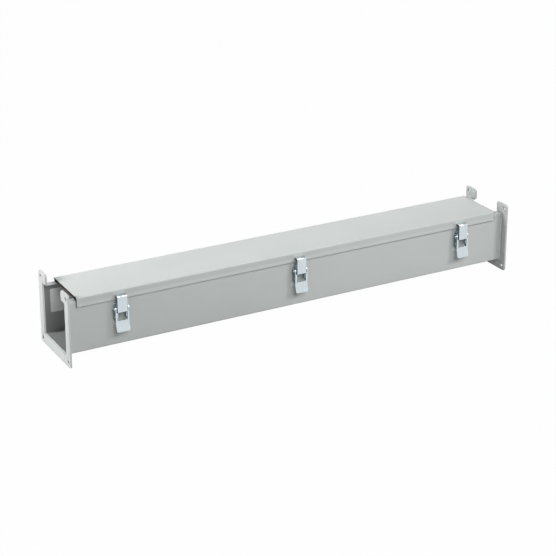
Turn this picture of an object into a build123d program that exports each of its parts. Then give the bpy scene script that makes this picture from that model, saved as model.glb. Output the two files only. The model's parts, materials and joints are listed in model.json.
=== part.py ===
from build123d import *
import os

# Hinged cover wireway: a straight gasketed section of 4 x 4 inch lay-in duct, 36 inches long.
# X runs along the duct, Y from the latches (-) to the hinge (+), Z up. All sizes in millimetres.
# The origin is on the floor under the middle of the duct.

os.makedirs("parts", exist_ok=True)

# Section and length
section_length = 914.4
body_width = 101.6
body_height = 97.7
body_sheet = 1.9
bend_radius = 1.6
return_lip = 13.2

# End flanges
flange_thickness = 3.4
flange_foot = 18.6
flange_side = 17.2
flange_corner = 5.0
ear_width = 32.0
ear_height = 19.4
ear_heel_radius = 2.0
sheet_setback = 2.2
weld_gap = 0.3
hole_diameter = 7.1
hole_margin = 9.0

# Cover
cover_sheet = 1.5
cover_end_gap = 18.6
cover_side_gap = 0.8
cover_rear_overhang = 0.4
lip_depth = 17.1
flare_height = 6.5
flare_reach = 1.7

# Gasket
gasket_height = 4.2
gasket_width = 12.0
gasket_squeeze = 0.3

# Continuous hinge
hinge_pin_radius = 1.25
hinge_bore_gap = 0.1
leaf_thickness = 1.15
leaf_width = 15.0
leaf_inset = 4.0
knuckle_pitch = 76.2
knuckle_gap = 0.4

# Latches
latch_inset = 79.6
latch_sheet = 1.4
latch_gap = 0.3
lever_width = 25.4
lever_face = 12.2
lever_end_radius = 5.2
lever_pivot_drop = 16.2
lever_pivot_reach = 7.2
lever_cheek_slope = 0.5
window_drop = 21.0
crease_drop = 26.5
tab_drop = 41.2
tab_flare = 4.3
tab_corner = 3.5
hook_pivot_drop = 14.5
hook_pivot_reach = 7.5
hook_stud_radius = 1.5
hook_face = 14.2
hook_flange_depth = 6.0
hook_drop = 5.0
hook_roof_rise = 9.0
hook_tip_rise = 3.2
hook_bend_radius = 0.3
hook_lip_gap = 0.45
hook_leg_radius = 3.4
hook_leg_taper = 6.8
base_above = 9.0
base_below = 10.0
base_ear_radius = 4.0
rivet_radius = 1.6
rivet_head_radius = 3.3
rivet_head_height = 1.2
fit_gap = 0.1

# How far a cutting shape passes the face that it cuts, and how near counts as the same place
cut_margin = 1.0
near = 0.01

# Heights and faces that the rest is worked out from
body_bottom = flange_foot
body_top = body_bottom + body_height
wall_face = -body_width / 2
cover_underside = body_top + gasket_squeeze + gasket_height
cover_top = cover_underside + cover_sheet
cover_length = section_length - 2 * (flange_thickness + cover_end_gap)
lip_face = wall_face - cover_side_gap - cover_sheet
lip_bottom = cover_top - lip_depth
gasket_edge = body_width / 2 - bend_radius
flange_inner_x = section_length / 2 - flange_thickness
ear_underside = body_top + weld_gap
flange_width = body_width + 2 * flange_side
flange_height = ear_underside + ear_height


def along_duct(section, x_from, x_to):
    """Extrude a section drawn in Y and Z from one place on the duct to another."""
    return extrude(Plane.YZ.offset(x_from) * section, amount=x_to - x_from)


def folded_sheet(points, thickness, inside_radius):
    """A folded strip's section, from the points of its middle line."""
    path = FilletPolyline(*points, radius=inside_radius + thickness / 2)
    return trace(path, line_width=thickness)


def slab(x_from, x_to, y_from, y_to, z_from, z_to):
    """A flat-sided block between two corners."""
    size = (x_to - x_from, y_to - y_from, z_to - z_from)
    centre = ((x_from + x_to) / 2, (y_from + y_to) / 2, (z_from + z_to) / 2)
    return Pos(*centre) * Box(*size)


def rod(x_from, x_to, y, z, radius):
    """A round bar along X."""
    return Pos((x_from + x_to) / 2, y, z) * Rot(0, 90, 0) * Cylinder(radius, abs(x_to - x_from))


# Trough
def make_trough():
    """One folded sheet: bottom, two walls and the two lips that the gasket closes on."""
    half = body_sheet / 2
    wall = body_width / 2 - half
    lip_edge = body_width / 2 - return_lip
    low = body_bottom + half
    high = body_top - half
    points = [(-lip_edge, high), (-wall, high), (-wall, low), (wall, low), (wall, high), (lip_edge, high)]
    section = folded_sheet(points, body_sheet, bend_radius)
    end = section_length / 2 - sheet_setback
    return along_duct(section, -end, end)


# End flanges
def make_flange(side):
    """A plate around the trough's end, open at the top between two ears so that cable is laid in."""
    ear_edge = flange_width / 2 - ear_width
    opening = body_width / 2 + weld_gap
    bottom = body_bottom - weld_gap
    above = flange_height + cut_margin
    passage = Polygon(
        (-opening, bottom), (opening, bottom), (opening, ear_underside), (ear_edge, ear_underside),
        (ear_edge, above), (-ear_edge, above), (-ear_edge, ear_underside), (-opening, ear_underside),
        align=None)
    low_corners = passage.vertices().group_by(Axis.Y)[0]
    passage = fillet(low_corners, bend_radius + body_sheet + weld_gap)
    middle = Pos(0, flange_height / 2)
    plate = middle * RectangleRounded(flange_width, flange_height, flange_corner) - passage
    ear_corners = ShapeList(v for v in plate.vertices() if abs(abs(v.X) - ear_edge) < near)
    plate = fillet(ear_corners.group_by(Axis.Y)[-1], flange_corner)
    heels = [v for v in plate.vertices() if abs(abs(v.X) - ear_edge) < near and v.Y < ear_underside + near]
    plate = fillet(heels, ear_heel_radius)
    hole_places = GridLocations(flange_width - 2 * hole_margin, flange_height - 2 * hole_margin, 2, 2)
    plate = plate - [middle * place * Circle(hole_diameter / 2) for place in hole_places]
    outer = side * section_length / 2
    inner = side * flange_inner_x
    return along_duct(plate, min(outer, inner), max(outer, inner))


# Cover
def make_cover():
    """One folded sheet: the flat top and a front lip that flares out at its lower edge."""
    half = cover_sheet / 2
    top = cover_top - half
    face = lip_face + half
    rear = body_width / 2 + cover_rear_overhang
    flare_top = lip_bottom + flare_height
    points = [(rear, top), (face, top), (face, flare_top), (face - flare_reach, lip_bottom)]
    section = folded_sheet(points, cover_sheet, bend_radius)
    return along_duct(section, -cover_length / 2, cover_length / 2)


# Gasket
def make_gasket_strips():
    """Four strips stuck under the cover: two on the trough's lips and one across each end."""
    end = cover_length / 2
    outer = gasket_edge
    inner = gasket_edge - gasket_width
    low = cover_underside - gasket_height
    leaf_top = cover_underside - leaf_thickness
    return {
        "gasket_front": slab(-end, end, -outer, -inner, low, cover_underside),
        "gasket_rear": slab(-end, end, inner, outer, low, leaf_top),
        "gasket_left": slab(-end, -end + gasket_width, -inner, inner, low, cover_underside),
        "gasket_right": slab(end - gasket_width, end, -inner, inner, low, cover_underside),
    }


# Continuous hinge
barrel_radius = hinge_pin_radius + hinge_bore_gap + leaf_thickness
hinge_y = body_width / 2 + barrel_radius
hinge_z = cover_underside - barrel_radius
hinge_length = cover_length - 2 * leaf_inset
knuckle_count = 2 * round(hinge_length / knuckle_pitch / 2) - 1
knuckle_step = hinge_length / knuckle_count


def knuckles(first):
    """Every second knuckle along the hinge, as lengths of tube around the pin."""
    tube = Circle(barrel_radius) - Circle(hinge_pin_radius + hinge_bore_gap)
    tube = Pos(hinge_y, hinge_z) * tube
    start = -hinge_length / 2
    spans = [(start + i * knuckle_step + knuckle_gap / 2, start + (i + 1) * knuckle_step - knuckle_gap / 2)
             for i in range(first, knuckle_count, 2)]
    return [along_duct(tube, a, b) for a, b in spans], spans


def make_body_leaf():
    """The leaf on the trough's rear wall, notched where the cover's knuckles turn."""
    tubes, spans = knuckles(0)
    end = hinge_length / 2
    wall = body_width / 2
    notch_low = hinge_z - barrel_radius - knuckle_gap
    leaf = slab(-end, end, wall, wall + leaf_thickness, hinge_z - leaf_width, notch_low)
    necks = [slab(a, b, wall, wall + leaf_thickness, notch_low, hinge_z) for a, b in spans]
    bore = rod(-end, end, hinge_y, hinge_z, hinge_pin_radius + hinge_bore_gap)
    return leaf + necks + tubes - bore


def make_cover_leaf():
    """The leaf under the cover's rear edge, notched where the trough's knuckles turn."""
    tubes, spans = knuckles(1)
    top = cover_underside
    notch_edge = hinge_y - barrel_radius - knuckle_gap
    inner = gasket_edge - gasket_width
    leaf = slab(-hinge_length / 2, hinge_length / 2, inner, notch_edge, top - leaf_thickness, top)
    necks = [slab(a, b, notch_edge, hinge_y, top - leaf_thickness, top) for a, b in spans]
    return leaf + necks + tubes


def make_hinge_pin():
    """The wire through all the knuckles."""
    return rod(-hinge_length / 2, hinge_length / 2, hinge_y, hinge_z, hinge_pin_radius)


# Latches
latch_pitch = cover_length / 2 - latch_inset
pivot_y = wall_face - lever_pivot_reach
pivot_z = lip_bottom - lever_pivot_drop
hook_y = wall_face - hook_pivot_reach
hook_z = pivot_z - hook_pivot_drop
hook_bottom = pivot_z - hook_drop
hook_roof = lip_bottom + hook_roof_rise
hook_tip = lip_bottom + hook_tip_rise
crease_z = pivot_z - crease_drop
tab_bottom = pivot_z - tab_drop
lever_outer = wall_face - lever_face
hook_outer = wall_face - hook_face
lever_inside = lever_width / 2 - latch_sheet
ear_outside = lever_inside - latch_gap
ear_inside = ear_outside - latch_sheet
hook_outside = ear_inside - latch_gap
hook_inside = hook_outside - latch_sheet


def cheek(outline, x_from, x_to):
    """A flat side plate cut to an outline drawn in Y and Z, and its mirror image across the latch."""
    plate = along_duct(outline, x_from, x_to)
    return plate + mirror(plate, Plane.YZ)


def make_latch_base():
    """The bracket on the wall, whose two ears carry the headed pivots that the lever turns on."""
    low = pivot_z - base_below
    high = pivot_z + base_above
    plate = slab(-ear_outside, ear_outside, wall_face - latch_sheet, wall_face, low, high)
    ear = Pos((wall_face + pivot_y) / 2, pivot_z) * Rectangle(lever_pivot_reach, 2 * base_ear_radius)
    pivot = Pos(pivot_y, pivot_z)
    ear = ear + pivot * Circle(base_ear_radius)
    head_inner = lever_width / 2 + fit_gap
    shanks = cheek(pivot * Circle(rivet_radius), ear_inside, head_inner)
    heads = cheek(pivot * Circle(rivet_head_radius), head_inner, head_inner + rivet_head_height)
    return plate + cheek(ear, ear_inside, ear_outside) + shanks + heads


def make_latch_lever():
    """A channel with a window for the hook, cheeks up to the pivots and a flared thumb tab."""
    face = lever_outer + latch_sheet / 2
    points = [(face, pivot_z - lever_end_radius), (face, crease_z), (face - tab_flare, tab_bottom)]
    web = along_duct(folded_sheet(points, latch_sheet, bend_radius), -lever_width / 2, lever_width / 2)
    window_side = hook_outside + latch_gap
    web_inner = lever_outer + latch_sheet
    web = web - slab(-window_side, window_side, lever_outer - cut_margin, web_inner + cut_margin,
                     pivot_z - window_drop, pivot_z)
    tab_edges = [e for e in web.edges() if abs(e.length - latch_sheet) < near and e.center().Z < crease_z]
    web = fillet(tab_edges, tab_corner)
    rear = pivot_y + lever_end_radius
    rear_low = crease_z + lever_cheek_slope * (rear - lever_outer)
    outline = Polygon((lever_outer, pivot_z), (lever_outer, crease_z), (web_inner, crease_z),
                      (rear, rear_low), (rear, pivot_z), align=None)
    outline = outline + Pos(pivot_y, pivot_z) * Circle(lever_end_radius)
    outline = outline - Pos(pivot_y, pivot_z) * Circle(rivet_radius + fit_gap)
    studs = cheek(Pos(hook_y, hook_z) * Circle(hook_stud_radius), hook_inside, lever_width / 2)
    return web + cheek(outline, lever_inside, lever_width / 2) + studs


def make_latch_hook():
    """A channel that reaches up over the cover's lip, on two legs that swing on the lever's studs."""
    half = latch_sheet / 2
    face = hook_outer + half
    flare_top = lip_bottom + flare_height
    tip_y = lip_face - hook_lip_gap - half
    tip_low_y = tip_y - (flare_top - hook_tip) * flare_reach / flare_height
    roof = hook_roof - half
    points = [(face, hook_bottom), (face, roof), (tip_y, roof), (tip_y, flare_top), (tip_low_y, hook_tip)]
    web = along_duct(folded_sheet(points, latch_sheet, hook_bend_radius), -hook_outside, hook_outside)
    back = hook_outer + hook_flange_depth
    leg_front = hook_y - hook_leg_radius
    leg_back = hook_y + hook_leg_radius
    outline = Polygon(
        (face, hook_roof - latch_sheet), (face, hook_bottom), (leg_front, hook_z + hook_leg_taper),
        (leg_front, hook_z), (leg_back, hook_z), (leg_back, hook_z + hook_leg_radius),
        (back, hook_bottom), (back, hook_tip - hook_leg_radius), align=None)
    outline = outline + Pos(hook_y, hook_z) * Circle(hook_leg_radius)
    outline = outline - Pos(hook_y, hook_z) * Circle(hook_stud_radius + fit_gap)
    return web + cheek(outline, hook_inside, hook_outside)


latch_places = {"left": -latch_pitch, "middle": 0.0, "right": latch_pitch}
latch_pieces = {
    "latch_base": make_latch_base(),
    "latch_lever": make_latch_lever(),
    "latch_hook": make_latch_hook(),
}

pieces = {
    "trough": make_trough(),
    "left_flange": make_flange(-1),
    "right_flange": make_flange(1),
    "cover": make_cover(),
    "hinge_body_leaf": make_body_leaf(),
    "hinge_cover_leaf": make_cover_leaf(),
    "hinge_pin": make_hinge_pin(),
}
pieces.update(make_gasket_strips())
for place, x in latch_places.items():
    for piece, shape in latch_pieces.items():
        pieces[f"{place}_{piece}"] = Pos(x, 0, 0) * shape

for node, shape in pieces.items():
    export_step(shape, f"parts/{node}.step")
    print(node, round(shape.volume, 1))
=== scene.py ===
# %% [markdown]
# # A hinged cover wireway
# This is a straight section of steel duct for cables. It has a folded trough, a plate flange at each end,
# a hinged cover with a foam gasket, and three draw latches on the front. The solids come from the packed
# model, and here they get their finish: soft painted edges, weld beads, foam, a plate and pivot heads. X
# runs along the duct, Y goes from the latches to the hinge, and Z is up. Everything is in metres.

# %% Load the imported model
import bmesh
import bpy
import json
import math
from mathutils import Matrix, Vector

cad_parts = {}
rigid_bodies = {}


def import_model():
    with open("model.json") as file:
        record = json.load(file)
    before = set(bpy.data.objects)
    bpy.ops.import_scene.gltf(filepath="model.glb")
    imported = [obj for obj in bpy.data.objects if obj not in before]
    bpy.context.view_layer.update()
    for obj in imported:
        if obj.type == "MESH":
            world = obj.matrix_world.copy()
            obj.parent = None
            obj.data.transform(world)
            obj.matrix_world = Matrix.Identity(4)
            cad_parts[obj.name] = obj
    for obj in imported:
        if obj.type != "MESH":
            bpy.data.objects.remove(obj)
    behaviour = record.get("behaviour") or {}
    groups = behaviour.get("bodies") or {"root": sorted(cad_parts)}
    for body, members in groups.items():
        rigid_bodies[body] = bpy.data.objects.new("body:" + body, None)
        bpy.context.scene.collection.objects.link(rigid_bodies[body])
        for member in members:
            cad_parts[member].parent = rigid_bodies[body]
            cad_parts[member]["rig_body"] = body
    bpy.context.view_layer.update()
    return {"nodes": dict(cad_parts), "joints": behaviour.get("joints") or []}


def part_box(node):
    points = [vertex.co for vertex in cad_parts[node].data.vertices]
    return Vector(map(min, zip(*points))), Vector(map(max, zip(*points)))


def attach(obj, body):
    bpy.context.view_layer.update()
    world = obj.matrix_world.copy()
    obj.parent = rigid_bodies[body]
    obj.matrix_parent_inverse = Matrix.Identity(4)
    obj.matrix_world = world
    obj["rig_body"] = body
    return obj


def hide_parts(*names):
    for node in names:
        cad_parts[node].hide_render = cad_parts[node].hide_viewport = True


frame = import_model()

# %% [markdown]
# ## Camera
# The photograph was taken from the left and a little above, with a long lens. The camera aims over the
# duct, and a lens shift brings the duct up to the middle of the picture, as a product photographer does by
# lowering the lens board. The camera then looks down less steeply, so the duct's upright edges lean less.

# %% Place the camera
picture_width = 36.0
camera_place = Vector((-1.3965, -2.5173, 1.2631))
camera_azimuth = math.radians(-28.773)
camera_elevation = math.radians(19.399)

camera_data = bpy.data.cameras.new("camera")
camera_data.sensor_width = picture_width
camera_data.lens = 108.39
camera_data.shift_y = -0.18
camera_data.clip_end = 100.0
camera = bpy.data.objects.new("camera", camera_data)
bpy.context.scene.collection.objects.link(camera)
turn = Matrix.Rotation(camera_azimuth, 4, "Z") @ Matrix.Rotation(math.pi / 2 - camera_elevation, 4, "X")
camera.matrix_world = Matrix.Translation(camera_place) @ turn
bpy.context.scene.camera = camera
bpy.context.scene.view_settings.view_transform = "Standard"
print("camera at", tuple(round(v, 3) for v in camera.location))

# %% [markdown]
# ## Studio
# The world is white where the camera, a mirror or glass sees it, and a faint soft light elsewhere. Five
# lamps share the work, and each has a face to light: one beyond the left end for the flange there, one
# above for the cover, a wide one in front for the wall with the latches, one to the right of it, which
# draws the short shadows on the left of each latch, and a low one behind, so that the hinge side isn't
# left in the dark. Their strengths keep every painted face below white in the photograph's view.

# %% Helpers for node trees
def new_node(tree, kind, **values):
    """Add a node, and set its sockets or settings by name."""
    node = tree.nodes.new(kind)
    for name, value in values.items():
        if name in node.inputs:
            node.inputs[name].default_value = value
        else:
            setattr(node, name, value)
    return node


def join(tree, source, output, target, socket):
    """Link an output of one node to an input of another."""
    tree.links.new(source.outputs[output], target.inputs[socket])


def combine(tree, operation, terms):
    """Reduce a row of (node, output) pairs to one number with a math operation."""
    result, output = terms[0]
    for term, term_output in terms[1:]:
        both = new_node(tree, "ShaderNodeMath", operation=operation)
        join(tree, result, output, both, 0)
        join(tree, term, term_output, both, 1)
        result, output = both, 0
    return result


def ray_is(tree, *kinds):
    """A number that is 1 for the named kinds of ray, and 0 for the others."""
    ray = new_node(tree, "ShaderNodeLightPath")
    return combine(tree, "MAXIMUM", [(ray, f"Is {kind} Ray") for kind in kinds])


# %% World
background_rays = ("Camera", "Glossy", "Transmission")

world = bpy.data.worlds.new("studio")
world.use_nodes = True
bpy.context.scene.world = world
sky = world.node_tree
sky.nodes.clear()
soft_light = new_node(sky, "ShaderNodeBackground", Color=(0.93, 0.96, 1.0, 1.0), Strength=0.05)
white_back = new_node(sky, "ShaderNodeBackground", Color=(1.0, 1.0, 1.0, 1.0), Strength=1.0)
seen = ray_is(sky, *background_rays)
world_mix = new_node(sky, "ShaderNodeMixShader")
world_out = new_node(sky, "ShaderNodeOutputWorld")
join(sky, seen, 0, world_mix, 0)
join(sky, soft_light, 0, world_mix, 1)
join(sky, white_back, 0, world_mix, 2)
join(sky, world_mix, 0, world_out, 0)
print("world made")

# %% Lamps
def area_lamp(name, place, aim, width, power):
    """A square soft lamp that points at a place on the duct."""
    data = bpy.data.lights.new(name, "AREA")
    data.size = width
    data.energy = power
    lamp = bpy.data.objects.new(name, data)
    bpy.context.scene.collection.objects.link(lamp)
    lamp.location = place
    lamp.rotation_euler = (Vector(aim) - Vector(place)).to_track_quat("-Z", "Y").to_euler()


duct_middle = (0.0, 0.0, 0.1)
area_lamp("lamp_left", (-2.1, 0.5, 0.9), duct_middle, width=0.6, power=35.0)
area_lamp("lamp_above", (0.7, 0.3, 1.7), (0.4, 0.0, 0.1), width=0.8, power=10.5)
area_lamp("lamp_right", (2.2, -2.8, 2.7), duct_middle, width=1.2, power=60.0)
area_lamp("lamp_front", (-0.3, -3.3, 2.7), (-0.1, 0.0, 0.1), width=2.0, power=79.0)
area_lamp("lamp_back", (-0.4, 3.2, 0.45), duct_middle, width=1.5, power=22.0)
print("five lamps made")

# %% [markdown]
# ## Floor
# The floor is white paper. For the same kinds of ray as the world it glows nearly white, with a little of
# the real light left in it, so that the duct's shadow still lies on it.

# %% Make the floor
floor_reach = 20.0
glow_share = 0.985
floor_corners = [(x * floor_reach, y * floor_reach, 0) for x, y in ((-1, -1), (1, -1), (1, 1), (-1, 1))]

floor_mesh = bpy.data.meshes.new("floor")
floor_mesh.from_pydata(floor_corners, [], [(0, 1, 2, 3)])
floor = bpy.data.objects.new("floor", floor_mesh)
bpy.context.scene.collection.objects.link(floor)
paper = bpy.data.materials.new("white_paper")
paper.use_nodes = True
tree = paper.node_tree
tree.nodes.clear()
lit = new_node(tree, "ShaderNodeBsdfDiffuse", Color=(0.45, 0.45, 0.45, 1.0))
glow = new_node(tree, "ShaderNodeEmission", Color=(1.0, 1.0, 1.0, 1.0), Strength=1.0)
share = new_node(tree, "ShaderNodeMath", operation="MULTIPLY")
share.inputs[1].default_value = glow_share
mix = new_node(tree, "ShaderNodeMixShader")
out = new_node(tree, "ShaderNodeOutputMaterial")
join(tree, ray_is(tree, *background_rays), 0, share, 0)
join(tree, share, 0, mix, 0)
join(tree, lit, 0, mix, 1)
join(tree, glow, 0, mix, 2)
join(tree, mix, 0, out, 0)
floor_mesh.materials.append(paper)
print("floor made")

# %% [markdown]
# ## Powder coat
# The sheet metal is powder coated in light grey. Powder melts into a smooth skin with a faint orange peel,
# a ripple of about a millimetre. The colour is even, with only a slight cloudiness, so two noises are
# enough: a fine one for the bump, and a broad one that changes colour and gloss by a few percent. Inside
# the trough the colour is darkened to less than half of the outside colour. That is painted shade, and its
# tone is fitted to the photograph under these lamps. A box in the object's own coordinates tells the inside
# from the outside.

# %% Helpers for materials
noise_range = (0.3, 0.7)


def surface_material(name, **settings):
    """A material with one Principled shader, whose sockets are set by name."""
    material = bpy.data.materials.new(name)
    material.use_nodes = True
    tree = material.node_tree
    shader = tree.nodes["Principled BSDF"]
    for socket, value in settings.items():
        shader.inputs[socket.replace("_", " ")].default_value = value
    place = new_node(tree, "ShaderNodeTexCoord")
    return material, tree, shader, place


def noise(tree, place, scale, detail=2.0):
    """A noise pattern on the object's own coordinates, scale in waves per metre."""
    node = new_node(tree, "ShaderNodeTexNoise", Scale=scale, Detail=detail)
    join(tree, place, "Object", node, "Vector")
    return node


def ramp(tree, source, low, high):
    """Blend two colours over the range where most of a noise's values lie."""
    node = new_node(tree, "ShaderNodeValToRGB")
    for stop, position, colour in zip(node.color_ramp.elements, noise_range, (low, high)):
        stop.position = position
        stop.color = (*colour, 1.0)
    join(tree, source, 0, node, 0)
    return node


def spread(tree, source, low, high, start=0.0, stop=1.0):
    """Turn a number that runs from start to stop into one that runs from low to high."""
    node = new_node(tree, "ShaderNodeMapRange")
    node.inputs["From Min"].default_value = start
    node.inputs["From Max"].default_value = stop
    node.inputs["To Min"].default_value = low
    node.inputs["To Max"].default_value = high
    join(tree, source, 0, node, "Value")
    return node


def bump(tree, source, shader, height, strength):
    """Let a noise raise and lower the surface by a height in metres."""
    node = new_node(tree, "ShaderNodeBump", Distance=height, Strength=strength)
    join(tree, source, 0, node, "Height")
    join(tree, node, "Normal", shader, "Normal")


def colour_by(tree, factor, first, second, shader):
    """Give a shader a blend of two colours."""
    # The Mix node has sockets of the same name for each type of data, so they go by number.
    factor_in, first_in, second_in, colour_out = 0, 6, 7, 2
    node = new_node(tree, "ShaderNodeMix", data_type="RGBA")
    join(tree, factor, 0, node, factor_in)
    join(tree, first, 0, node, first_in)
    join(tree, second, 0, node, second_in)
    join(tree, node, colour_out, shader, "Base Color")


def inside_box(tree, place, low, high):
    """A number that is 1 where the object's own coordinates lie in a box, and 0 outside it."""
    offset = new_node(tree, "ShaderNodeVectorMath", operation="SUBTRACT")
    offset.inputs[1].default_value = (low + high) / 2
    distance = new_node(tree, "ShaderNodeVectorMath", operation="ABSOLUTE")
    parts = new_node(tree, "ShaderNodeSeparateXYZ")
    join(tree, place, "Object", offset, 0)
    join(tree, offset, 0, distance, 0)
    join(tree, distance, 0, parts, 0)
    limits = []
    for axis, half in enumerate((high - low) / 2):
        within = new_node(tree, "ShaderNodeMath", operation="LESS_THAN")
        within.inputs[1].default_value = half
        join(tree, parts, axis, within, 0)
        limits.append((within, 0))
    return combine(tree, "MULTIPLY", limits)


# %% Powder coat material
sheet_thickness = 0.0019
skin_depth = 0.0003
end_margin = 0.001
trough_low, trough_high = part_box("trough")
to_inside = Vector((-end_margin, sheet_thickness - skin_depth, sheet_thickness - skin_depth))

powder_coat, tree, shader, place = surface_material("powder_coat", Specular_IOR_Level=0.5)
cloud = noise(tree, place, 9.0)
peel = noise(tree, place, 750.0, detail=1.0)
full_coat = ramp(tree, cloud, (0.553, 0.582, 0.568), (0.577, 0.605, 0.591))
# The darker colour inside the trough is painted shade, not a different coat.
inside_painted_shade = ramp(tree, cloud, (0.243, 0.258, 0.253), (0.267, 0.282, 0.277))
inside = inside_box(tree, place, trough_low + to_inside, trough_high - to_inside)
colour_by(tree, inside, full_coat, inside_painted_shade, shader)
join(tree, spread(tree, cloud, 0.47, 0.53), 0, shader, "Roughness")
bump(tree, peel, shader, height=0.00002, strength=0.6)
print("material", powder_coat.name, "with a thin coat inside the trough")

# %% [markdown]
# ## Zinc plate
# The latches are steel with bright zinc and a thin clear blue chromate. Rolling leaves faint lines along
# the strip, so one noise is stretched along Z. The plate is a mirror that is a little rough. The cheeks are
# given a dark blue-green colour, matched to the photograph. That is painted shade and a painted reflection
# of the shaded wall beside them. So the colour follows the way a face points along X.

# %% Zinc plate material
zinc, tree, shader, place = surface_material("zinc_plate", Metallic=1.0)
stretch = new_node(tree, "ShaderNodeMapping", Scale=(2400.0, 2400.0, 90.0))
join(tree, place, "Object", stretch, "Vector")
lines = new_node(tree, "ShaderNodeTexNoise", Scale=1.0, Detail=3.0)
join(tree, stretch, 0, lines, "Vector")
mottle = noise(tree, place, 160.0)
bright = ramp(tree, mottle, (0.60, 0.67, 0.70), (0.64, 0.71, 0.74))
# The dark blue-green for faces that point along X is painted shade and a painted reflection of the shaded
# wall.
painted_cheek_shade = ramp(tree, mottle, (0.17, 0.23, 0.26), (0.23, 0.30, 0.34))
facing = new_node(tree, "ShaderNodeSeparateXYZ")
sideways = new_node(tree, "ShaderNodeMath", operation="ABSOLUTE")
join(tree, place, "Normal", facing, 0)
join(tree, facing, "X", sideways, 0)
cheek_shade_mask = spread(tree, sideways, 0.0, 1.0, start=0.6, stop=0.95)
colour_by(tree, cheek_shade_mask, bright, painted_cheek_shade, shader)
join(tree, spread(tree, mottle, 0.16, 0.24), 0, shader, "Roughness")
bump(tree, lines, shader, height=0.000004, strength=0.4)
print("material", zinc.name)

# %% [markdown]
# ## Drawn wire and foam
# The hinge's wire and the latches' pivots are plain drawn steel, darker than the zinc. The gasket is black
# cellular rubber. Its cut cells show as pits of about half a millimetre, which a Voronoi pattern gives.

# %% Wire and foam materials
wire, tree, shader, place = surface_material("drawn_wire", Metallic=1.0)
streak = noise(tree, place, 300.0)
join(tree, ramp(tree, streak, (0.36, 0.36, 0.35), (0.46, 0.46, 0.45)), 0, shader, "Base Color")
join(tree, spread(tree, streak, 0.32, 0.45), 0, shader, "Roughness")

foam, tree, shader, place = surface_material("gasket_foam", Specular_IOR_Level=0.25)
cells = new_node(tree, "ShaderNodeTexVoronoi", Scale=1800.0)
join(tree, place, "Object", cells, "Vector")
join(tree, ramp(tree, cells, (0.014, 0.012, 0.011), (0.038, 0.032, 0.028)), 0, shader, "Base Color")
join(tree, spread(tree, cells, 0.98, 0.86), 0, shader, "Roughness")
bump(tree, cells, shader, height=0.0002, strength=0.8)
print("materials", wire.name, foam.name)

# %% [markdown]
# ## Plate material
# A plate of matt silver film is stuck inside the duct. It is left blank. Film has a fine grain and a satin
# gloss, and it is lighter than the coat around it, which is darkened there with painted shade.

# %% Plate material
film, tree, shader, place = surface_material("silver_film")
grain = noise(tree, place, 2500.0, detail=4.0)
join(tree, ramp(tree, grain, (0.82, 0.82, 0.82), (0.88, 0.88, 0.88)), 0, shader, "Base Color")
join(tree, spread(tree, grain, 0.42, 0.56), 0, shader, "Roughness")
bump(tree, grain, shader, height=0.00001, strength=0.3)
print("material", film.name)

# %% [markdown]
# ## Pieces
# Everything that is made from here on joins the model in the same way: it gets its material and rides on
# one of the model's bodies. A shape that is drawn point by point is a row of rings with a skin over them.

# %% Helpers for pieces
def new_piece(name, mesh, material, body):
    """Put a finished mesh in the scene as a piece that moves with a body."""
    piece = bpy.data.objects.new(name, mesh)
    bpy.context.scene.collection.objects.link(piece)
    mesh.materials.clear()
    mesh.materials.append(material)
    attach(piece, body)
    return piece


def baked_mesh(piece):
    """The piece's mesh with its modifiers applied."""
    graph = bpy.context.evaluated_depsgraph_get()
    return bpy.data.meshes.new_from_object(piece.evaluated_get(graph))


def finished_mesh(work, name):
    """Turn a bmesh into a mesh and free it."""
    mesh = bpy.data.meshes.new(name)
    work.to_mesh(mesh)
    work.free()
    return mesh


def skin(name, rings):
    """A closed mesh over a row of rings of points, with one face over each end."""
    work = bmesh.new()
    loops = [[work.verts.new(point) for point in ring] for ring in rings]
    for first, second in zip(loops, loops[1:]):
        for i in range(len(first)):
            j = (i + 1) % len(first)
            work.faces.new((first[i], first[j], second[j], second[i]))
    work.faces.new(loops[0])
    work.faces.new(loops[-1])
    bmesh.ops.recalc_face_normals(work, faces=work.faces)
    return finished_mesh(work, name)

# %% [markdown]
# ## Soft edges
# Cut sheet metal has sharp edges until it is coated. Paint pulls back from an edge and rounds it, and that
# thin round catches a line of light. A bevel of a few tenths of a millimetre on a copy of the solid gives
# it. The copy is merged first, because the solid's mesh is loose triangles, and its flat faces are joined
# into whole faces so that the bevel finds clean edges.

# %% Helpers for soft edges
same_place = 1e-6
flat_angle = math.radians(0.5)
sharp_angle = math.radians(40.0)


def merged_copy(node):
    """A copy of a solid's mesh with shared corners and whole flat faces."""
    work = bmesh.new()
    work.from_mesh(frame["nodes"][node].data)
    bmesh.ops.remove_doubles(work, verts=work.verts, dist=same_place)
    bmesh.ops.dissolve_limit(work, angle_limit=flat_angle, verts=work.verts, edges=work.edges)
    return finished_mesh(work, node + "_edges")


def soften(node, name, radius, material):
    """Stand a copy with rounded edges in a solid's place."""
    rough = bpy.data.objects.new(name + "_rough", merged_copy(node))
    bpy.context.scene.collection.objects.link(rough)
    rough.data.shade_smooth()
    edges = rough.modifiers.new("round", "BEVEL")
    edges.width = radius
    edges.segments = 2
    edges.limit_method = "ANGLE"
    edges.angle_limit = sharp_angle
    edges.harden_normals = True
    mesh = baked_mesh(rough)
    bpy.data.objects.remove(rough)
    piece = new_piece(name, mesh, material, frame["nodes"][node]["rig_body"])
    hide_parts(node)
    return piece


# %% Painted sheet metal
edge_radii = (("trough", "trough_sheet", 0.00035), ("cover", "cover_sheet", 0.0004),
              ("left_flange", "left_flange_plate", 0.0006), ("right_flange", "right_flange_plate", 0.0006))
for node, name, radius in edge_radii:
    piece = soften(node, name, radius, powder_coat)
    print(name, len(piece.data.polygons), "faces")
for node in ("hinge_body_leaf", "hinge_cover_leaf"):
    frame["nodes"][node].material_slots[0].material = powder_coat
frame["nodes"]["hinge_pin"].material_slots[0].material = wire

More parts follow.
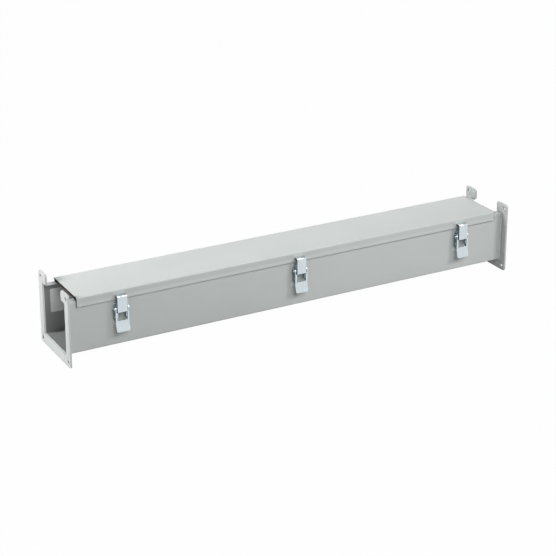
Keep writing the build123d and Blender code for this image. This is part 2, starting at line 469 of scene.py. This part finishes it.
# %% [markdown]
# ## Latches
# Each latch is three stampings of plated strip: a bracket on the wall, a lever with a thumb tab, and a
# hook that pulls the cover's lip down. Stampings are tumbled before they are plated, which rounds every
# edge a little, so they are softened too.

# %% Plated stampings
stamping_radius = 0.00022
latches = ("left", "middle", "right")
for latch in latches:
    for part in ("latch_base", "latch_lever", "latch_hook"):
        node = f"{latch}_{part}"
        soften(node, f"{node}_plated", stamping_radius, zinc)
    print(latch, "latch softened")

# %% [markdown]
# ## Pivot heads
# The lever turns on two pivots in the bracket, and the hook on two studs in the lever. Their ends are bare
# steel that was pressed into a low dome. A profile is spun into a head for each of the two kinds, and a
# Geometry Nodes tree stands a copy at each point of a mesh of loose points, turned to face outwards.

# %% Helpers for Geometry Nodes
def node_group(name, **sockets):
    """A Geometry Nodes tree with named inputs and one geometry output."""
    tree = bpy.data.node_groups.new(name, "GeometryNodeTree")
    tree.interface.new_socket("Geometry", in_out="INPUT", socket_type="NodeSocketGeometry")
    for socket, kind in sockets.items():
        tree.interface.new_socket(socket.replace("_", " "), in_out="INPUT", socket_type="NodeSocket" + kind)
    tree.interface.new_socket("Geometry", in_out="OUTPUT", socket_type="NodeSocketGeometry")
    return tree, new_node(tree, "NodeGroupInput"), new_node(tree, "NodeGroupOutput")


def end_tree(tree, last, source, result):
    """Make the copies real, give them the material input, and send them out."""
    real = new_node(tree, "GeometryNodeRealizeInstances")
    paint = new_node(tree, "GeometryNodeSetMaterial")
    join(tree, last, 0, real, 0)
    join(tree, real, 0, paint, 0)
    join(tree, source, "Material", paint, "Material")
    join(tree, paint, 0, result, 0)


def grow(name, seed_mesh, tree, **values):
    """Run a tree on a mesh with its inputs set by identifier, and return the plain result."""
    seed_object = bpy.data.objects.new(name + "_seed", seed_mesh)
    bpy.context.scene.collection.objects.link(seed_object)
    modifier = seed_object.modifiers.new("grow", "NODES")
    modifier.node_group = tree
    for socket in tree.interface.items_tree:
        word = socket.name.replace(" ", "_")
        if socket.in_out == "INPUT" and word in values:
            modifier[socket.identifier] = values[word]
    mesh = baked_mesh(seed_object)
    seed_object.modifiers.remove(modifier)
    bpy.data.objects.remove(seed_object)
    return mesh


def point_mesh(name, places, facings):
    """Loose points, each with the direction that a copy on it faces."""
    mesh = bpy.data.meshes.new(name)
    mesh.from_pydata(places, [], [])
    facing = mesh.attributes.new("facing", "FLOAT_VECTOR", "POINT")
    for entry, direction in zip(facing.data, facings):
        entry.vector = direction
    return mesh


# %% Helpers for pivot heads
head_sides = 40
dome_steps = 7
sunk_depth = 0.0002
seat_share, rim_share = 0.96, 0.5


def head_profile(stem, radius, rim, height):
    """A pressed head as (distance from the axis, height) points, from its sunk stem to its top."""
    angles = [math.pi / 2 * i / dome_steps for i in range(dome_steps)]
    dome = [(radius * math.cos(a), rim + (height - rim) * math.sin(a)) for a in angles]
    foot = [(0.0, -sunk_depth), (stem, -sunk_depth), (radius * seat_share, 0.0), (radius, rim * rim_share)]
    return foot + dome + [(0.0, height)]


def spun_head(name, profile):
    """Spin a profile around Z into a closed head."""
    work = bmesh.new()
    angles = [2 * math.pi * i / head_sides for i in range(head_sides)]
    rings = [[work.verts.new((radius * math.cos(a), radius * math.sin(a), height)) for a in angles]
             for radius, height in profile[1:-1]]
    foot = work.verts.new((0, 0, profile[0][1]))
    top = work.verts.new((0, 0, profile[-1][1]))
    for i in range(head_sides):
        after = (i + 1) % head_sides
        work.faces.new((foot, rings[0][after], rings[0][i]))
        work.faces.new((top, rings[-1][i], rings[-1][after]))
        for lower, upper in zip(rings, rings[1:]):
            work.faces.new((lower[i], lower[after], upper[after], upper[i]))
    bmesh.ops.recalc_face_normals(work, faces=work.faces)
    mesh = finished_mesh(work, name)
    mesh.shade_smooth()
    head = bpy.data.objects.new(name, mesh)
    bpy.context.scene.collection.objects.link(head)
    return head


# %% Pivot head tree
heads_tree, source, result = node_group("heads_on_points", Head="Object", Material="Material")
head_shape = new_node(heads_tree, "GeometryNodeObjectInfo")
facing = new_node(heads_tree, "GeometryNodeInputNamedAttribute", data_type="FLOAT_VECTOR", Name="facing")
aim = new_node(heads_tree, "FunctionNodeAlignRotationToVector", axis="Z")
stand = new_node(heads_tree, "GeometryNodeInstanceOnPoints")
join(heads_tree, source, "Head", head_shape, "Object")
join(heads_tree, facing, "Attribute", aim, "Vector")
join(heads_tree, source, "Geometry", stand, "Points")
join(heads_tree, head_shape, "Geometry", stand, "Instance")
join(heads_tree, aim, "Rotation", stand, "Rotation")
end_tree(heads_tree, stand, source, result)
print("tree", heads_tree.name)

# %% Pivot heads and hook studs
pivots = {joint["name"]: Vector(joint["pos_m"]) for joint in frame["joints"]}
pivot_head = spun_head("pivot_head", head_profile(stem=0.0026, radius=0.0029, rim=0.0001, height=0.0006))
stud_head = spun_head("stud_head", head_profile(stem=0.0014, radius=0.0021, rim=0.0002, height=0.0007))
outwards = [(-1, 0, 0), (1, 0, 0)]
for latch in latches:
    kinds = (("latch_base", "lever_pivot", pivot_head, "pivot_heads", "duct"),
             ("latch_lever", "hook_pivot", stud_head, "hook_studs", f"{latch}_lever"))
    for node, joint, head, name, body in kinds:
        low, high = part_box(f"{latch}_{node}")
        pivot = pivots[f"{latch}_{joint}"]
        places = [(low.x, pivot.y, pivot.z), (high.x, pivot.y, pivot.z)]
        mesh = grow(name, point_mesh(name, places, outwards), heads_tree, Head=head, Material=wire)
        new_piece(f"{latch}_{name}", mesh, wire, body)
    print(latch, "latch has four heads")
for used in (pivot_head, stud_head):
    bpy.data.objects.remove(used)

# %% [markdown]
# ## Weld beads
# Each flange is welded to the trough along a U, with one bead outside and one inside the opening. A bead
# is a rod of metal laid in steps, so it is a round tube along the U whose radius rises and falls. The path
# is drawn flat, across and up, and the finished tube is then stood upright at the flange.

# %% Weld bead tree
points_per_ripple = 6.0
bead_tree, source, result = node_group("bead_on_path", Radius="Float", Ripple_Pitch="Float",
                                       Ripple_Share="Float", Material="Material")
to_curve = new_node(bead_tree, "GeometryNodeMeshToCurve")
even = new_node(bead_tree, "GeometryNodeResampleCurve", mode="LENGTH")
step = new_node(bead_tree, "ShaderNodeMath", operation="DIVIDE")
step.inputs[1].default_value = points_per_ripple
along = new_node(bead_tree, "GeometryNodeSplineParameter")
count = new_node(bead_tree, "ShaderNodeMath", operation="DIVIDE")
turns = new_node(bead_tree, "ShaderNodeMath", operation="MULTIPLY")
turns.inputs[1].default_value = math.pi
wave = new_node(bead_tree, "ShaderNodeMath", operation="SINE")
scallop = new_node(bead_tree, "ShaderNodeMath", operation="ABSOLUTE")
swell = new_node(bead_tree, "ShaderNodeMath", operation="MULTIPLY_ADD")
swell.inputs[2].default_value = 1.0
section = new_node(bead_tree, "GeometryNodeCurvePrimitiveCircle", Resolution=12)
sweep = new_node(bead_tree, "GeometryNodeCurveToMesh")
sweep.inputs["Fill Caps"].default_value = True
join(bead_tree, source, "Geometry", to_curve, 0)
join(bead_tree, source, "Ripple Pitch", step, 0)
join(bead_tree, to_curve, 0, even, "Curve")
join(bead_tree, step, 0, even, "Length")
join(bead_tree, along, "Length", count, 0)
join(bead_tree, source, "Ripple Pitch", count, 1)
join(bead_tree, count, 0, turns, 0)
join(bead_tree, turns, 0, wave, 0)
join(bead_tree, wave, 0, scallop, 0)
join(bead_tree, scallop, 0, swell, 0)
join(bead_tree, source, "Ripple Share", swell, 1)
join(bead_tree, source, "Radius", section, "Radius")
join(bead_tree, even, 0, sweep, "Curve")
join(bead_tree, section, "Curve", sweep, "Profile Curve")
join(bead_tree, swell, 0, sweep, "Scale")
end_tree(bead_tree, sweep, source, result)
print("tree", bead_tree.name)

# %% Weld beads
def u_path(half_width, bottom, top, corner, steps=8):
    """A U drawn across and up, with two rounded corners, as a mesh of edges."""
    points = [(-half_width, top)]
    for centre_x, start in ((-half_width + corner, math.pi), (half_width - corner, 1.5 * math.pi)):
        for i in range(steps + 1):
            angle = start + math.pi / 2 * i / steps
            points.append((centre_x + corner * math.cos(angle), bottom + corner + corner * math.sin(angle)))
    points.append((half_width, top))
    mesh = bpy.data.meshes.new("u_path")
    mesh.from_pydata([(x, y, 0.0) for x, y in points], [(i, i + 1) for i in range(len(points) - 1)], [])
    return mesh


outer_radius, outer_shift = 0.0021, 0.0002
inner_radius, inner_shift = 0.0011, -0.0001
bead_top = trough_high.z - sheet_thickness
stand_up = Matrix(((0, 0, 1, 0), (1, 0, 0, 0), (0, 1, 0, 0), (0, 0, 0, 1)))
for side, node in ((-1, "left_flange"), (1, "right_flange")):
    flange_low, flange_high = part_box(node)
    inner_face = flange_high.x if side < 0 else flange_low.x
    beads = (("outer", outer_radius, outer_shift, inner_face - side * outer_shift),
             ("inner", inner_radius, inner_shift, side * (trough_high.x - inner_shift)))
    for word, radius, shift, x in beads:
        path = u_path(trough_high.y + shift, trough_low.z - shift, bead_top, corner=0.0036)
        mesh = grow("bead", path, bead_tree, Radius=radius, Ripple_Pitch=0.0028, Ripple_Share=-0.06,
                    Material=powder_coat)
        mesh.transform(Matrix.Translation((x, 0, 0)) @ stand_up)
        mesh.shade_smooth()
        new_piece(f"{node}_{word}_weld", mesh, powder_coat, "duct")
    print(node, "welded inside and outside")

# %% [markdown]
# ## Foam gasket
# The four strips under the cover are foam that was cut from a roll and stuck on. Cut foam is a little
# crowned: its corners round off and its sides bulge. Each strip is a section of that shape drawn from end
# to end, and its width wavers by a fraction of a millimetre, which comes from the product of two sines.

# %% Foam strips
foam_round, round_steps = 0.0011, 5
flank_inset, flank_share = 0.0002, 0.5
flat_start, flat_end = 0.35, 0.65
ring_spacing, fewest_rings = 0.008, 6
waver_size = 0.00012
first_wave, second_wave, wave_shift = 37.0, 11.0, 5.0


def foam_section(width, height):
    """A crowned section as (across, up) points, flat on top where it is stuck to the cover."""
    left = [(flank_inset, height), (0.0, height * flank_share)]
    for i in range(round_steps + 1):
        angle = math.pi + math.pi / 2 * i / round_steps
        left.append((foam_round + foam_round * math.cos(angle), foam_round + foam_round * math.sin(angle)))
    right = [(width - across, up) for across, up in reversed(left)]
    return left + [(width * flat_start, 0.0), (width * flat_end, 0.0)] + right


def foam_strip(node):
    """A foam strip in a solid strip's box, drawn along the longer side."""
    low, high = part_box(node)
    size = high - low
    axis = 0 if size.x > size.y else 1
    side = 1 - axis
    length, width = size[axis], size[side]
    middle = (low[side] + high[side]) / 2
    count = max(fewest_rings, round(length / ring_spacing))
    rings = []
    for i in range(count + 1):
        share = i / count
        sines = math.sin(first_wave * share + wave_shift * length) * math.sin(second_wave * share)
        waver = waver_size * sines
        inward = 1.0 - 2.0 * abs(waver) / width
        ring = []
        for across, up in foam_section(width, size.z):
            point = Vector((0.0, 0.0, low.z + up))
            point[axis] = low[axis] + length * share
            point[side] = middle + (across - width / 2) * inward
            ring.append(point)
        rings.append(ring)
    strip = new_piece(node + "_foam", skin(node + "_foam", rings), foam, "cover")
    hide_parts(node)
    return strip


for side in ("front", "rear", "left", "right"):
    strip = foam_strip("gasket_" + side)
    print(strip.name, len(strip.data.polygons), "faces")

# %% [markdown]
# ## Dark ends on the cover
# Both of the cover's cut ends, on the top and down the lip, get a thin black bead in the foam material, so
# that each end shows as a dark line. Down the lip that line is painted shade, where the trough's wall
# shades the end, and on the top its cause is not known. A copy of the end face, pushed out by half a
# millimetre, gives that bead, and it follows the folded section without a drawing of its own.

# %% Dark beads on the cover's cut ends
bead_depth = 0.0005
end_tolerance = 1e-5


def end_bead(side):
    """A thin bead over the cover's cut end, grown from the end face of the merged copy."""
    low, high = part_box("cover")
    end = low.x if side < 0 else high.x
    work = bmesh.new()
    work.from_mesh(merged_copy("cover"))
    rest = [face for face in work.faces if abs(face.calc_center_median().x - end) > end_tolerance]
    bmesh.ops.delete(work, geom=rest, context="FACES")
    grown = bmesh.ops.extrude_face_region(work, geom=list(work.faces))
    moved = [item for item in grown["geom"] if isinstance(item, bmesh.types.BMVert)]
    bmesh.ops.translate(work, verts=moved, vec=(side * bead_depth, 0.0, 0.0))
    bmesh.ops.recalc_face_normals(work, faces=work.faces)
    return finished_mesh(work, "end_bead")


# The black bead is painted shade down the lip; on the top it gives a dark line of unknown cause.
for side, word in ((-1, "left"), (1, "right")):
    bead = new_piece(f"cover_{word}_end_bead", end_bead(side), foam, "cover")
    print(bead.name, len(bead.data.polygons), "faces")

# %% [markdown]
# ## Blank plate
# A small plate is stuck on the rear wall inside the left end. It is a thin sheet with rounded corners. It
# stays blank, and a raised border a tenth of a millimetre high gives it an edge to catch the light.

# %% Make the plate
def rounded_outline(width, height, corner, steps=6):
    """The corner points of a rectangle with rounded corners, around the origin."""
    points = []
    for quarter, (sx, sy) in enumerate(((1, 1), (-1, 1), (-1, -1), (1, -1))):
        for i in range(steps + 1):
            angle = math.pi / 2 * (quarter + i / steps)
            points.append((sx * (width / 2 - corner) + corner * math.cos(angle),
                           sy * (height / 2 - corner) + corner * math.sin(angle)))
    return points


plate_left, plate_width = -0.4444, 0.070
plate_top, plate_height = 0.1027, 0.0447
plate_corner = 0.0025
border_rise, face_rise = 0.00022, 0.00012
border_width, border_foot = 0.0010, 0.0013
wall_inner = trough_high.y - sheet_thickness
centre_x, centre_z = plate_left + plate_width / 2, plate_top - plate_height / 2
rings = []
for inset, rise in ((0.0, 0.0), (0.0, border_rise), (border_width, border_rise), (border_foot, face_rise)):
    outline = rounded_outline(plate_width - 2 * inset, plate_height - 2 * inset, plate_corner - inset)
    rings.append([(centre_x + x, wall_inner - rise, centre_z + z) for x, z in outline])
new_piece("blank_plate", skin("blank_plate", rings), film, "duct")
print("blank plate", plate_width, "by", plate_height)

# %% [markdown]
# ## Spot welds
# The hinge is out of sight in the photograph. Its leaf is taken to be spot welded to the rear wall. The
# electrodes leave a row of shallow rings along it. A tree lays rings along a line, each a thin tube that
# is half sunk into the leaf.

# %% Spot weld rings
ring_tree, source, result = node_group("rings_on_line", Count="Int", Spacing="Vector", Start="Vector",
                                       Ring_Radius="Float", Rim_Radius="Float", Material="Material")
line = new_node(ring_tree, "GeometryNodeMeshLine")
circle = new_node(ring_tree, "GeometryNodeCurvePrimitiveCircle", Resolution=28)
rim = new_node(ring_tree, "GeometryNodeCurvePrimitiveCircle", Resolution=8)
ring = new_node(ring_tree, "GeometryNodeCurveToMesh")
lay = new_node(ring_tree, "GeometryNodeInstanceOnPoints")
join(ring_tree, source, "Count", line, "Count")
join(ring_tree, source, "Start", line, "Start Location")
join(ring_tree, source, "Spacing", line, "Offset")
join(ring_tree, source, "Ring Radius", circle, "Radius")
join(ring_tree, source, "Rim Radius", rim, "Radius")
join(ring_tree, circle, "Curve", ring, "Curve")
join(ring_tree, rim, "Curve", ring, "Profile Curve")
join(ring_tree, line, 0, lay, "Points")
join(ring_tree, ring, 0, lay, "Instance")
end_tree(ring_tree, lay, source, result)

spot_count = 14
spot_rise = 0.0052
leaf_thickness = 0.00115
leaf_low, leaf_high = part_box("hinge_body_leaf")
spacing = (leaf_high.x - leaf_low.x) / spot_count
start = (leaf_low.x + spacing / 2, leaf_low.z + spot_rise, trough_high.y + leaf_thickness)
rings = grow("rings", bpy.data.meshes.new("none"), ring_tree, Count=spot_count, Spacing=(spacing, 0.0, 0.0),
             Start=start, Ring_Radius=0.0023, Rim_Radius=0.00016, Material=powder_coat)
swap_y_and_z = Matrix(((1, 0, 0, 0), (0, 0, 1, 0), (0, 1, 0, 0), (0, 0, 0, 1)))
rings.transform(swap_y_and_z)
rings.flip_normals()
rings.shade_smooth()
new_piece("hinge_spot_welds", rings, powder_coat, "duct")
print(spot_count, "spot welds")
